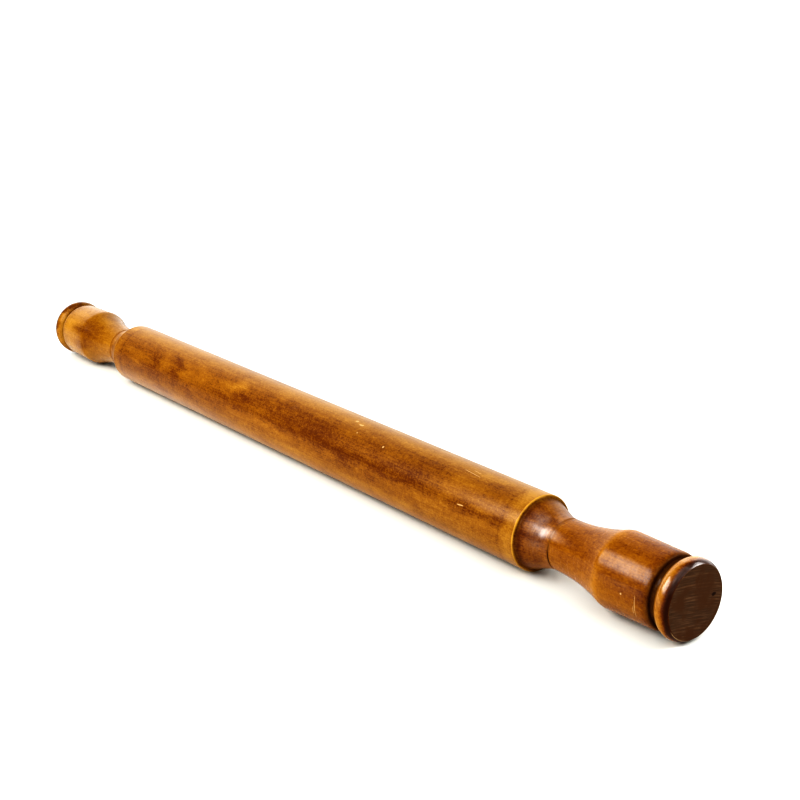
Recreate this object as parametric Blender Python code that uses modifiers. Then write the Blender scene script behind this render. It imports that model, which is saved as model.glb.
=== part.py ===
"""Rolling pin: a turned barrel that spins on a steel axle between two turned handles.

Lengths are in metres. The pin lies along X, its middle is the origin, and +Z is up.
Each turned piece is an outline of (radius, height) points, swept round its own Z axis
and then laid along X.
"""

import math

import bpy

# Barrel: the working cylinder and the shoulder that runs down to each neck
BARREL_RADIUS = 0.020
BARREL_LENGTH = 0.4178
BARREL_EDGE_ROUND = 0.0009
BARREL_EDGE_DROP = 0.0017
SHOULDER_LENGTH = 0.0169
SHOULDER_COVE_RADIUS = 0.020
NECK_RADIUS = 0.0134

# Handle: cove, grip, groove and end bead, in order from the neck outwards
COVE_LENGTH = 0.0350
GRIP_RADIUS = 0.0196
GRIP_TAPER = 0.0006
GRIP_LENGTH = 0.0319
GRIP_KINK_BLEND = 0.0018
GRIP_END_ROUND_LENGTH = 0.0036
GRIP_END_ROUND_DEPTH = 0.0012
GROOVE_WIDTH = 0.0030
GROOVE_FLOOR_RADIUS = 0.0166
BEAD_RADIUS = 0.0198
BEAD_LENGTH = 0.0094
BEAD_CREST_SETBACK = 0.0045
BEAD_ROUND_RADIUS = 0.0060

# Axle: a steel rod with a thinner screwed spigot at each end
AXLE_RADIUS = 0.0050
SPIGOT_RADIUS = 0.0040
SPIGOT_END_EASE = 0.0040
SPIGOT_CHAMFER = 0.0008
BARREL_BORE_EASE = 0.0010

# Flanged bush in each end of the barrel
BUSH_RADIUS = 0.0080
BUSH_LENGTH = 0.0240
FLANGE_RADIUS = 0.0110
FLANGE_THICKNESS = 0.0020

# Thrust washer in each neck joint
WASHER_SETBACK = 0.0004
WASHER_THICKNESS = 0.0008

# Screwed insert in each handle
INSERT_RADIUS = 0.0075
INSERT_LENGTH = 0.0300
INSERT_RIM_CHAMFER = 0.0006
DRILL_POINT_SHARE = 0.6

# Clearance between pieces that seat in or turn on each other
SEAT_GAP = 0.0003

# Facets round each kind of piece, and along each curved stretch of an outline
WOOD_STEPS = 48
METAL_STEPS = 32
ARC_STEPS = 8
ROUND_STEPS = 4

MERGE_DISTANCE = 0.00001
SHARP_ANGLE = math.radians(35)

# Sizes that follow from their neighbours
SHOULDER_TOP_RADIUS = BARREL_RADIUS - BARREL_EDGE_DROP
GRIP_END_RADIUS = GRIP_RADIUS - GRIP_TAPER
WASHER_RADIUS = NECK_RADIUS - WASHER_SETBACK
SPIGOT_LENGTH = INSERT_LENGTH - SPIGOT_END_EASE

# Places along the pin that follow from the sizes
HANDLE_LENGTH = COVE_LENGTH + GRIP_LENGTH + GROOVE_WIDTH + BEAD_LENGTH
BARREL_END = BARREL_LENGTH / 2 + SHOULDER_LENGTH
WASHER_START = BARREL_END + SEAT_GAP
HANDLE_START = WASHER_START + WASHER_THICKNESS + SEAT_GAP
AXLE_SHOULDER = HANDLE_START - SEAT_GAP

# Colour, roughness and metallic value of each material
FINISHES = {
    "barrel_wood": ((0.42, 0.16, 0.035), 0.30, 0.0),
    "handle_wood": ((0.36, 0.13, 0.030), 0.28, 0.0),
    "axle_steel": ((0.55, 0.56, 0.57), 0.30, 1.0),
    "bush_nylon": ((0.78, 0.76, 0.70), 0.45, 0.0),
    "washer_fibre": ((0.045, 0.022, 0.012), 0.75, 0.0),
    "insert_brass": ((0.70, 0.50, 0.22), 0.30, 1.0),
}


def clear_scene():
    """Remove every object that the scene starts with."""
    for item in list(bpy.data.objects):
        bpy.data.objects.remove(item, do_unlink=True)


def make_material(name):
    """Return a material with the named finish."""
    colour, roughness, metallic = FINISHES[name]
    material = bpy.data.materials.new(name)
    material.use_nodes = True
    shader = material.node_tree.nodes["Principled BSDF"]
    shader.inputs["Base Color"].default_value = (*colour, 1.0)
    shader.inputs["Roughness"].default_value = roughness
    shader.inputs["Metallic"].default_value = metallic
    return material


def turn(name, outline, steps, closed, material, collection):
    """Sweep an outline round Z into a solid of flats that touch its true radius.

    The outline's plane is turned half a step, so that one flat faces straight down
    once the piece lies along X.
    """
    half_step = math.pi / steps
    reach = 1 / math.cos(half_step)
    points = []
    for radius, height in outline:
        across = radius * reach
        points.append((across * math.cos(half_step), across * math.sin(half_step), height))
    edges = [(i, i + 1) for i in range(len(points) - 1)]
    if closed:
        edges.append((len(points) - 1, 0))
    mesh = bpy.data.meshes.new(name)
    mesh.from_pydata(points, edges, [])
    piece = bpy.data.objects.new(name, mesh)
    collection.objects.link(piece)
    screw = piece.modifiers.new("Turned", "SCREW")
    screw.axis = "Z"
    screw.angle = math.tau
    screw.steps = steps
    screw.render_steps = steps
    screw.use_merge_vertices = True
    screw.merge_threshold = MERGE_DISTANCE
    mesh.materials.append(material)
    mesh.shade_smooth()
    mesh.set_sharp_from_angle(angle=SHARP_ANGLE)
    return piece


def lay_along(piece, place, side):
    """Lay a piece along X at a place, with its own +Z towards the given side."""
    piece.location = (side * place, 0, 0)
    piece.rotation_euler = (0, side * math.pi / 2, 0)


def shoulder_points():
    """Points of a barrel shoulder as (radius, distance inwards from the barrel's end face).

    A cove leaves the neck level with the axis and runs on as its own tangent, a straight
    cone, to the rounded edge of the working cylinder.
    """
    rise = SHOULDER_TOP_RADIUS - NECK_RADIUS
    widest = (SHOULDER_LENGTH ** 2 + rise ** 2) / (2 * rise)
    cove = min(SHOULDER_COVE_RADIUS, widest)
    hypotenuse = math.hypot(SHOULDER_LENGTH, cove - rise)
    lean = math.atan2(cove - rise, SHOULDER_LENGTH)
    sweep = math.asin(min(cove / hypotenuse, 1.0)) - lean
    points = []
    for i in range(ARC_STEPS + 1):
        angle = sweep * i / ARC_STEPS
        points.append((NECK_RADIUS + cove * (1 - math.cos(angle)), cove * math.sin(angle)))
    for i in range(ROUND_STEPS + 1):
        angle = math.pi / 2 * i / ROUND_STEPS
        radius = SHOULDER_TOP_RADIUS + BARREL_EDGE_DROP * math.sin(angle)
        points.append((radius, SHOULDER_LENGTH + BARREL_EDGE_ROUND * (1 - math.cos(angle))))
    return points


def barrel_outline():
    """Closed outline of the barrel: down the outside, then up through the stepped bore."""
    bore = AXLE_RADIUS + BARREL_BORE_EASE
    sleeve = BUSH_RADIUS + SEAT_GAP
    pocket = FLANGE_RADIUS + SEAT_GAP
    half = [(radius, BARREL_END - inwards) for radius, inwards in shoulder_points()]
    recess = [
        (bore, BARREL_END - BUSH_LENGTH - SEAT_GAP),
        (sleeve, BARREL_END - BUSH_LENGTH - SEAT_GAP),
        (sleeve, BARREL_END - FLANGE_THICKNESS - SEAT_GAP),
        (pocket, BARREL_END - FLANGE_THICKNESS - SEAT_GAP),
        (pocket, BARREL_END),
    ]
    outside = half + [(radius, -height) for radius, height in reversed(half)]
    inside = [(radius, -height) for radius, height in reversed(recess)] + recess
    return outside + inside


def cove_points():
    """Handle cove from the grip to the neck: one arc that ends level with the axis."""
    rise = GRIP_RADIUS - NECK_RADIUS
    radius = (COVE_LENGTH ** 2 + rise ** 2) / (2 * rise)
    sweep = math.asin(COVE_LENGTH / radius)
    start = sweep * (1 - GRIP_KINK_BLEND / COVE_LENGTH)
    points = []
    for i in range(ARC_STEPS + 1):
        angle = start * (1 - i / ARC_STEPS)
        points.append((NECK_RADIUS + radius * (1 - math.cos(angle)), radius * math.sin(angle)))
    return points


def kink_points():
    """Soft corner between grip and cove: a quadratic curve pulled towards the corner.

    It starts on the grip's slight taper, just outside the corner.
    """
    straight = GRIP_LENGTH - GRIP_END_ROUND_LENGTH
    first = (GRIP_RADIUS - GRIP_TAPER * GRIP_KINK_BLEND / straight, COVE_LENGTH + GRIP_KINK_BLEND)
    corner = (GRIP_RADIUS, COVE_LENGTH)
    last = cove_points()[0]
    points = []
    for i in range(ROUND_STEPS):
        along = i / ROUND_STEPS
        weights = ((1 - along) ** 2, 2 * along * (1 - along), along ** 2)
        points.append(tuple(
            weights[0] * first[k] + weights[1] * corner[k] + weights[2] * last[k] for k in (0, 1)
        ))
    return points


def bead_points():
    """End bead: an arc over its crest, from the end disc down to the groove's wall."""
    centre = BEAD_RADIUS - BEAD_ROUND_RADIUS
    crest = HANDLE_LENGTH - BEAD_CREST_SETBACK
    first = math.asin(min(BEAD_CREST_SETBACK / BEAD_ROUND_RADIUS, 1.0))
    last = -math.asin(min((BEAD_LENGTH - BEAD_CREST_SETBACK) / BEAD_ROUND_RADIUS, 1.0))
    points = []
    for i in range(ARC_STEPS + 1):
        angle = first + (last - first) * i / ARC_STEPS
        radius = centre + BEAD_ROUND_RADIUS * math.cos(angle)
        points.append((radius, crest + BEAD_ROUND_RADIUS * math.sin(angle)))
    return points


def grip_end_points():
    """Rounded outer end of the grip, from the groove up to the end of its taper."""
    wall = HANDLE_LENGTH - BEAD_LENGTH - GROOVE_WIDTH
    points = []
    for i in range(ROUND_STEPS + 1):
        angle = math.pi / 2 * i / ROUND_STEPS
        radius = GRIP_END_RADIUS - GRIP_END_ROUND_DEPTH * (1 - math.sin(angle))
        points.append((radius, wall - GRIP_END_ROUND_LENGTH * (1 - math.cos(angle))))
    return points


def handle_outline():
    """Outline of a handle from the middle of its end disc round to its blind bore."""
    groove_wall = HANDLE_LENGTH - BEAD_LENGTH
    bore = INSERT_RADIUS + SEAT_GAP
    depth = INSERT_LENGTH + SEAT_GAP
    groove = [(GROOVE_FLOOR_RADIUS, groove_wall), (GROOVE_FLOOR_RADIUS, groove_wall - GROOVE_WIDTH)]
    inside = [(bore, 0), (bore, depth), (0, depth + bore * DRILL_POINT_SHARE)]
    outside = bead_points() + groove + grip_end_points() + kink_points() + cove_points()
    return [(0, HANDLE_LENGTH)] + outside + inside


def axle_outline():
    """Outline of the axle from the tip of one spigot to the tip of the other."""
    tip = AXLE_SHOULDER + SPIGOT_LENGTH
    half = [
        (0, tip),
        (SPIGOT_RADIUS - SPIGOT_CHAMFER, tip),
        (SPIGOT_RADIUS, tip - SPIGOT_CHAMFER),
        (SPIGOT_RADIUS, AXLE_SHOULDER),
        (AXLE_RADIUS, AXLE_SHOULDER),
    ]
    return half + [(radius, -height) for radius, height in reversed(half)]


def bush_outline():
    """Closed outline of a flanged bush, with its flange face at height zero."""
    bore = AXLE_RADIUS + SEAT_GAP
    return [
        (FLANGE_RADIUS, 0),
        (FLANGE_RADIUS, -FLANGE_THICKNESS),
        (BUSH_RADIUS, -FLANGE_THICKNESS),
        (BUSH_RADIUS, -BUSH_LENGTH),
        (bore, -BUSH_LENGTH),
        (bore, 0),
    ]


def washer_outline():
    """Closed outline of a thrust washer that stands on height zero."""
    bore = AXLE_RADIUS + SEAT_GAP
    return [
        (WASHER_RADIUS, WASHER_THICKNESS),
        (WASHER_RADIUS, 0),
        (bore, 0),
        (bore, WASHER_THICKNESS),
    ]


def insert_outline():
    """Closed outline of a screwed insert, with its mouth at height zero."""
    bore = SPIGOT_RADIUS + SEAT_GAP
    return [
        (INSERT_RADIUS - INSERT_RIM_CHAMFER, INSERT_LENGTH),
        (INSERT_RADIUS, INSERT_LENGTH - INSERT_RIM_CHAMFER),
        (INSERT_RADIUS, 0),
        (bore, 0),
        (bore, INSERT_LENGTH),
    ]


def make_barrel(collection, materials):
    """Barrel with both shoulders, turned from one piece of wood."""
    barrel = turn("barrel", barrel_outline(), WOOD_STEPS, True, materials["barrel_wood"], collection)
    lay_along(barrel, 0, 1)


def make_axle(collection, materials):
    """Axle that runs through the barrel into both handles."""
    axle = turn("axle", axle_outline(), METAL_STEPS, False, materials["axle_steel"], collection)
    lay_along(axle, 0, 1)


def make_end_pieces(collection, materials, end, side):
    """Bush, washer, insert and handle at one end of the pin."""
    rows = [
        ("bush", bush_outline(), METAL_STEPS, True, "bush_nylon", BARREL_END),
        ("thrust_washer", washer_outline(), WOOD_STEPS, True, "washer_fibre", WASHER_START),
        ("handle_insert", insert_outline(), METAL_STEPS, True, "insert_brass", HANDLE_START),
        ("handle", handle_outline(), WOOD_STEPS, False, "handle_wood", HANDLE_START),
    ]
    for kind, outline, steps, closed, material, place in rows:
        piece = turn(f"{kind}_{end}", outline, steps, closed, materials[material], collection)
        lay_along(piece, place, side)


def main():
    """Build the whole rolling pin."""
    clear_scene()
    collection = bpy.data.collections.new("rolling_pin")
    bpy.context.scene.collection.children.link(collection)
    materials = {name: make_material(name) for name in FINISHES}
    make_barrel(collection, materials)
    make_axle(collection, materials)
    for end, side in (("right", 1), ("left", -1)):
        make_end_pieces(collection, materials, end, side)


main()
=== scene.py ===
"""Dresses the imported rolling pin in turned, stained wood, and stands it on a pale studio floor.

All lengths are in metres, in the part's own frame: X along the pin, +Z up, the origin at its middle.
"""

import math

import bmesh
import bpy
from bpy.props import FloatProperty, FloatVectorProperty, PointerProperty
from bpy.types import Operator, Panel, PropertyGroup
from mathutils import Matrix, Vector


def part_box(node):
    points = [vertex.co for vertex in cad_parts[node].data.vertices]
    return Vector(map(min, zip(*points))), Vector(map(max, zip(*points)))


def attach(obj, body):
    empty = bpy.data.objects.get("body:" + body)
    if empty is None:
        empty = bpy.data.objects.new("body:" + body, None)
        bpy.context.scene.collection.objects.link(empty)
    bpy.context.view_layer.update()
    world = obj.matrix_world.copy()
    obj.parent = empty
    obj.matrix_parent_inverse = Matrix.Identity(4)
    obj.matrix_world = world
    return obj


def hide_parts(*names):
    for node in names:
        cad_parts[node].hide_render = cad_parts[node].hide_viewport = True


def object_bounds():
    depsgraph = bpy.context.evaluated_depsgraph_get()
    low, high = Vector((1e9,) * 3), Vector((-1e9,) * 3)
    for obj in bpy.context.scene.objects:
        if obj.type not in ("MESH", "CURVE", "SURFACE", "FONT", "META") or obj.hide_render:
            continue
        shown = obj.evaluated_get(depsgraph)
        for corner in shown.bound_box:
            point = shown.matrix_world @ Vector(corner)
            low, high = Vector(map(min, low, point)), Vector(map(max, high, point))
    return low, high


bl_info = {
    "name": "Turned rolling pin",
    "version": (1, 0, 0),
    "blender": (4, 5, 0),
    "location": "3D View > Sidebar > Pin",
    "description": "Dresses a revolving rolling pin in turned, stained wood and lights it",
    "category": "Object",
}

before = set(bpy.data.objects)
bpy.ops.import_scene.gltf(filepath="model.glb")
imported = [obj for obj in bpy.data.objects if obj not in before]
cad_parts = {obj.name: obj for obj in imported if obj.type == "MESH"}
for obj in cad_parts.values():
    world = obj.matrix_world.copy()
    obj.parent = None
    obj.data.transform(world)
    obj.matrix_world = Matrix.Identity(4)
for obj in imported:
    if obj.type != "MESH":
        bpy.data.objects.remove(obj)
CAD_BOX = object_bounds()
BARREL_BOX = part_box("barrel")
HANDLE_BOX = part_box("handle_right")
WASHER_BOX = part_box("thrust_washer_right")

# The pin's two ends: their name in the nodes, and on which side of the middle they lie
ENDS = (("right", 1), ("left", -1))

# Directions from the pin to the soft light overhead and to the side fill
CEILING_AIM = (0.35, -0.15, 0.92)
SIDE_AIM = (0.45, -0.75, 0.50)

# Cosines of the angles from its middle at which each soft light is full, and at which it is gone
BACKDROP_CONE = (0.74, 0.48)
CEILING_CONE = (0.95, 0.82)
SIDE_CONE = (0.93, 0.78)

# Brightness and tint of the pale room that the eye sees
SEEN_ROOM = 1.0
ROOM_TINT = (1.0, 0.995, 0.985, 1.0)

# How much darker the eye sees the floor than the light that it throws back on the pin
FLOOR_SEEN = (0.69, 0.70, 0.68)

# How much of its brightness the floor keeps in its darkest clouds
FLOOR_SHADE = 0.985

# How far the small lamp's beam opens
GLINT_SPREAD = math.radians(50)

# Width of the camera's sensor in millimetres, and the nearest thing that it sees
SENSOR_WIDTH = 36.0
NEAR_CLIP = 0.01

# Facets of the round pieces
WOOD_FACETS = 180
WASHER_FACETS = 96
FLOOR_FACETS = 96

# Steps of an outline: round an arc, round a small corner, and along a straight run, closer at its ends
ARC_STEPS = 18
ROUND_STEPS = 8
LONG_STEP = 0.0017
SHORT_STEPS = (0.0002, 0.0004, 0.0007, 0.0011)

# Points closer than this are one, and edges sharper than this stay sharp
MERGE_DISTANCE = 0.000002
SHARP_ANGLE = math.radians(40)

# Radii between which dents and wander set in, so that bores stay true
TRUE_RADII = (0.012, 0.013)

# A cell holds a dent past this share, and the dent's rise lies between these parts of the cell
DENT_CHANCE = (0.80, 0.82)
DENT_RISE = (0.05, 0.24)

# How many cells in a metre the slow wander of a turned surface has
WANDER_CELLS = 22.0

# A washer's chamfer is one part in so many of its width
CHAMFER_PARTS = 12

# Names of the values that an outline carries to the surface turned from it. Besides real dirt and stain,
# grime and tone also hold painted shade: in the grooves, at the beads' fronts and in the corners of the
# shoulders
WEAR = "edge_wear"
GRIME_AND_SHADE = "grime_and_shade"
TONE = "stain_and_shade_tone"

# How many cells of noise each pattern has in a metre along X, Y and Z
SWAY_CELLS = (9.0, 60.0, 60.0)
FIBRE_CELLS = (70.0, 1500.0, 1500.0)
MOTTLE_CELLS = (330.0, 520.0, 520.0)
PORE_CELLS = (850.0, 1250.0, 1250.0)
SAW_CELLS = (0.0, 80.0, 1900.0)
PATCH_SWAY_CELLS = (45.0, 150.0, 150.0)
PATCH_SWIRL_CELLS = (60.0, 190.0, 190.0)
PATCH_SWIRL_SHIFT = (4.1, 0.0, 0.0)

# How many cells in a metre the grit, the worn edges and the washers' hairs and clumps have
GRIT_CELLS = 1400.0
WEAR_CELLS = 190.0
HAIR_CELLS = 1900.0
CLUMP_CELLS = 420.0

# How fast a growth ring darkens towards its late wood, and the noise between which it goes from faint to full
LATE_WOOD = 2.2
RING_STRENGTH = (0.3, 0.75)

# How much coarser the broad turning marks are than the fine ones
BROAD_MARKS = (0.17, 0.35, 0.35)

# How the stain's streaks are drawn out of its clouds, and how far they are moved off them
STREAK_STRETCH = (0.16, 1.7, 1.7)
STREAK_SHIFT = (7.3, 0.0, 0.0)

# How ragged a scratch is, and where its edge starts and ends in half widths
SCRATCH_GRIT = 1.4
SCRATCH_EDGE = (0.7, 1.15)

# Between which values of an edge's wear its broken part sets in, and between which it may show at all
WEAR_BREAK = (0.30, 0.85)
WEAR_GATE = (0.02, 0.30)

# How far the edges of soft patches waver along the pin, in metres, and round it, in radians
WAVER_ALONG = 0.030
WAVER_ROUND = 0.70

# How strongly each pattern in the wood darkens or lightens the stain
TONE_WEIGHTS = {"Clouds": 0.66, "Streaks": 0.54, "Mottle": 0.40, "Pores": 1.05,
                "Fine": 0.22, "Broad": 0.12, "Fibre": 0.40}
RING_TONE = -0.12

# How much each part of the surface roughens the wood, and how far it stands out of it
ROUGH_WEIGHTS = {"Fine": 0.12, "Disc": 0.40, "Scratches": 0.35, "Dirt and shade": 0.30}
HEIGHT_WEIGHTS = {"Fine": 0.55, "Broad": 0.65, "Fibre": 0.35, "Scratches": -1.6,
                  "Disc lines": 0.9, "Notch": -3.0}

# How a tone becomes a place on the ramp of stains, and where the four stains lie on it
TONE_GAIN = 0.75
TONE_START = 0.22
STAIN_STOPS = (0.00, 0.26, 0.56, 0.93)

# Where along the pin the redder stain of the near end starts, and how soft its edge is
RED_FROM = 0.2090
RED_EDGE = 0.0008

# Share of an edge's wear that is there all round
WEAR_SHARE = 0.32

# How far inside the end plane the bare end grain starts and is full
DISC_EDGE = (0.00022, 0.00008)

# How much the rings and the saw lines show in the end grain, how much lighter a saw line is, and between
# which values a line fades in and a cloud of the stain is soaked deeper
DISC_RINGS = 0.9
DISC_SAW = 2.2
SAW_LIGHT = 2.8
LINE_FADE = (-0.3, 1.1)
SOAKED_CLOUDS = (0.40, 0.62)

# Lean of the grain round the X axis
GRAIN_LEAN = math.radians(11)

# The small pit in each end disc: its place in Y and Z, its radius, how much it is squashed, and where its
# edge starts and ends in radii
NOTCH_PLACE = (0.0118, 0.0008)
NOTCH_RADIUS = 0.0015
NOTCH_SQUASH = 1.5
NOTCH_EDGE = (0.6, 1.2)

# Varnish: how thick it is outside its glossy patches, the fine marks between which it thickens, its shares at
# those two, and what dirt and painted shade take off it
THIN_VARNISH = 0.015
VARNISH_MARKS = (0.30, 0.70)
VARNISH_SHARES = (0.62, 1.20)
DULLING_DIRT_AND_SHADE = 0.4
VARNISH_IOR = 1.8
BARREL_VARNISH_ROUGHNESS = 0.29
HANDLE_VARNISH_ROUGHNESS = 0.21

# Gloss of the bare surface under the varnish
BARE_SPECULAR = 0.05

# The roughest that wood gets
MOST_ROUGH = 0.95

# Width of the dark line in a washer's rim
WASHER_LINE = 0.0004

# What is left of a metal's brightness where it is tarnished
TARNISH = 0.55

# What is left of nylon's red, green and blue where it has yellowed
YELLOWED = (0.92, 0.84, 0.66)


class PinSizes(PropertyGroup):
    """Sizes of the turned outlines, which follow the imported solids."""

    barrel_radius: FloatProperty(
        name="Barrel radius", description="Radius of the working cylinder",
        default=BARREL_BOX[1][2], unit="LENGTH")
    barrel_length: FloatProperty(
        name="Barrel length", description="Length of the working cylinder between its edges",
        default=0.4178, unit="LENGTH")
    barrel_edge_round: FloatProperty(
        name="Barrel edge round", description="Length of the rounding at the cylinder's edge",
        default=0.0009, unit="LENGTH")
    shoulder_top_radius: FloatProperty(
        name="Shoulder top radius", description="Radius where the shoulder meets the barrel's edge",
        default=0.0183, unit="LENGTH")
    shoulder_cove_radius: FloatProperty(
        name="Shoulder cove radius", description="Radius of the cove next to the neck",
        default=0.020, unit="LENGTH")
    neck_radius: FloatProperty(
        name="Neck radius", description="Radius at the joint between shoulder and handle",
        default=0.0134, unit="LENGTH")
    bore_radius: FloatProperty(
        name="Bore radius", description="Radius of the hole through the barrel",
        default=0.0060, unit="LENGTH")
    sleeve_radius: FloatProperty(
        name="Sleeve seat radius", description="Radius of the seat for the bush's sleeve",
        default=0.0083, unit="LENGTH")
    sleeve_depth: FloatProperty(
        name="Sleeve seat depth", description="Depth of the seat for the bush's sleeve",
        default=0.0243, unit="LENGTH")
    flange_radius: FloatProperty(
        name="Flange seat radius", description="Radius of the seat for the bush's flange",
        default=0.0113, unit="LENGTH")
    flange_depth: FloatProperty(
        name="Flange seat depth", description="Depth of the seat for the bush's flange",
        default=0.0023, unit="LENGTH")
    cove_length: FloatProperty(
        name="Cove length", description="Length of the handle's cove from the neck to the grip",
        default=0.0350, unit="LENGTH")
    grip_radius: FloatProperty(
        name="Grip radius", description="Radius of the grip where it meets the cove",
        default=0.0196, unit="LENGTH")
    grip_taper: FloatProperty(
        name="Grip taper", description="How much smaller the grip's radius is at its outer end",
        default=0.0006, unit="LENGTH")
    kink_blend: FloatProperty(
        name="Kink blend", description="Half length of the soft corner between cove and grip",
        default=0.0018, unit="LENGTH")
    grip_round_length: FloatProperty(
        name="Grip end round length", description="Length of the rounding at the grip's outer end",
        default=0.0036, unit="LENGTH")
    grip_round_depth: FloatProperty(
        name="Grip end round depth", description="Depth of the rounding at the grip's outer end",
        default=0.0012, unit="LENGTH")
    groove_width: FloatProperty(
        name="Groove width", description="Width of the groove between grip and bead",
        default=0.0030, unit="LENGTH")
    groove_floor_radius: FloatProperty(
        name="Groove floor radius", description="Radius at the bottom of the groove",
        default=0.0166, unit="LENGTH")
    bead_radius: FloatProperty(
        name="Bead radius", description="Radius over the crest of the end bead",
        default=0.0198, unit="LENGTH")
    bead_length: FloatProperty(
        name="Bead length", description="Length of the end bead",
        default=0.0094, unit="LENGTH")
    bead_setback: FloatProperty(
        name="Bead crest setback", description="Distance of the bead's crest from the end disc",
        default=0.0045, unit="LENGTH")
    bead_round: FloatProperty(
        name="Bead round", description="Radius of the arc that forms the bead",
        default=0.0060, unit="LENGTH")
    insert_seat_radius: FloatProperty(
        name="Insert seat radius", description="Radius of the blind bore in a handle",
        default=0.0078, unit="LENGTH")
    insert_seat_depth: FloatProperty(
        name="Insert seat depth", description="Depth of the blind bore in a handle",
        default=0.0303, unit="LENGTH")
    drill_point: FloatProperty(
        name="Drill point", description="Depth of the cone at the bottom of the blind bore",
        default=0.0047, unit="LENGTH")
    washer_bore_radius: FloatProperty(
        name="Washer bore radius", description="Radius of the hole in a thrust washer",
        default=0.0053, unit="LENGTH")
    washer_spread: FloatProperty(
        name="Washer spread", description="How far a soft washer is pressed out on each side of its solid",
        default=0.00029, unit="LENGTH")
    washer_setback: FloatProperty(
        name="Washer setback", description="How far a washer's rim lies under the neck's surface",
        default=0.00002, unit="LENGTH")


class PinColours(PropertyGroup):
    """Colours of the stains, the bare wood and the other finishes."""

    stain_deep: FloatVectorProperty(
        name="Deep stain", description="The darkest spots of the stain",
        default=(0.050, 0.0122, 0.0008), subtype="COLOR", min=0, max=1)
    stain_dark: FloatVectorProperty(
        name="Dark stain", description="Where the wood took the most stain",
        default=(0.092, 0.0262, 0.0014), subtype="COLOR", min=0, max=1)
    stain_middle: FloatVectorProperty(
        name="Middle stain", description="The wood's usual colour",
        default=(0.192, 0.0795, 0.0050), subtype="COLOR", min=0, max=1)
    stain_light: FloatVectorProperty(
        name="Light stain", description="Where the wood took the least stain",
        default=(0.300, 0.1540, 0.0200), subtype="COLOR", min=0, max=1)
    worn_wood: FloatVectorProperty(
        name="Worn wood", description="Amber wood where an edge has lost its stain",
        default=(0.540, 0.310, 0.0450), subtype="COLOR", min=0, max=1)
    bare_wood: FloatVectorProperty(
        name="Bare wood", description="Pale wood under a scratch or a chip",
        default=(0.400, 0.270, 0.1150), subtype="COLOR", min=0, max=1)
    end_grain: FloatVectorProperty(
        name="End grain", description="Stain soaked into the end discs",
        default=(0.044, 0.0225, 0.0105), subtype="COLOR", min=0, max=1)
    soaked_grain: FloatVectorProperty(
        name="Soaked end grain", description="End grain where the stain soaked in redder and deeper",
        default=(0.054, 0.0222, 0.0072), subtype="COLOR", min=0, max=1)
    red_stain: FloatVectorProperty(
        name="Red stain", description="Tint of the redder stain over the near handle and its shoulder",
        default=(0.970, 0.8500, 0.5000), subtype="COLOR", min=0, max=1)
    # This dark colour is old dirt, and also painted shade in the grooves, at the beads' fronts, in the
    # shoulders' corners and on the joints' lower side
    grime_and_shade: FloatVectorProperty(
        name="Grime", description="Old polish and dirt in grooves and joints",
        default=(0.014, 0.0050, 0.0020), subtype="COLOR", min=0, max=1)
    fibre: FloatVectorProperty(
        name="Washer fibre", description="Dark pressed fibre of the thrust washers",
        default=(0.150, 0.0520, 0.0040), subtype="COLOR", min=0, max=1)
    steel: FloatVectorProperty(
        name="Steel", description="Turned steel of the axle",
        default=(0.560, 0.570, 0.5800), subtype="COLOR", min=0, max=1)
    brass: FloatVectorProperty(
        name="Brass", description="Turned brass of the inserts",
        default=(0.720, 0.500, 0.2100), subtype="COLOR", min=0, max=1)
    nylon: FloatVectorProperty(
        name="Nylon", description="Moulded nylon of the bushes",
        default=(0.780, 0.750, 0.6800), subtype="COLOR", min=0, max=1)
    floor: FloatVectorProperty(
        name="Floor", description="Pale floor under the pin",
        default=(0.925, 0.930, 0.9150), subtype="COLOR", min=0, max=1)


class PinStage(PropertyGroup):
    """Camera, lights and floor."""

    camera_place: FloatVectorProperty(
        name="Camera place", description="Where the camera stands",
        default=(0.6594, -0.4443, 0.2701), subtype="TRANSLATION", unit="LENGTH")
    camera_aim: FloatVectorProperty(
        name="Camera aim", description="Direction in which the camera looks",
        default=(-0.7482, 0.5896, -0.3042), subtype="XYZ")
    camera_lens: FloatProperty(
        name="Lens", description="Focal length in millimetres on a 36 mm sensor",
        default=62.1, min=1.0)
    window_place: FloatVectorProperty(
        name="Window place", description="Middle of the soft window light",
        default=(-0.150, -0.600, 0.50), subtype="TRANSLATION", unit="LENGTH")
    window_width: FloatProperty(
        name="Window width", description="Width of the soft window light", default=0.70, unit="LENGTH")
    window_height: FloatProperty(
        name="Window height", description="Height of the soft window light", default=0.50, unit="LENGTH")
    window_power: FloatProperty(
        name="Window power", description="Power of the soft window light in watts", default=8.0, min=0)
    floor_radius: FloatProperty(
        name="Floor radius", description="Radius of the round floor", default=16.0, unit="LENGTH")
    backdrop: FloatProperty(
        name="Backdrop", description="Brightness of the pale backdrop behind the pin", default=2.0, min=0)
    room: FloatProperty(
        name="Room", description="Brightness of the dark room on the camera's side", default=0.02, min=0)
    ceiling: FloatProperty(
        name="Ceiling", description="Brightness of the soft light overhead", default=2.0, min=0)
    side_fill: FloatProperty(
        name="Side fill", description="Brightness of the soft light low beside the camera",
        default=0.8, min=0)
    glint_place: FloatVectorProperty(
        name="Glint place", description="Middle of the small lamp above and behind the pin's near end",
        default=(0.409, 0.154, 0.134), subtype="TRANSLATION", unit="LENGTH")
    glint_size: FloatProperty(
        name="Glint size", description="Width and height of the small lamp", default=0.15, unit="LENGTH")
    glint_power: FloatProperty(
        name="Glint power", description="Power of the small lamp in watts", default=0.068, min=0)


def settings():
    """Return the scene's three groups of settings."""
    scene = bpy.context.scene
    return scene.pin_sizes, scene.pin_colours, scene.pin_stage


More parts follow.
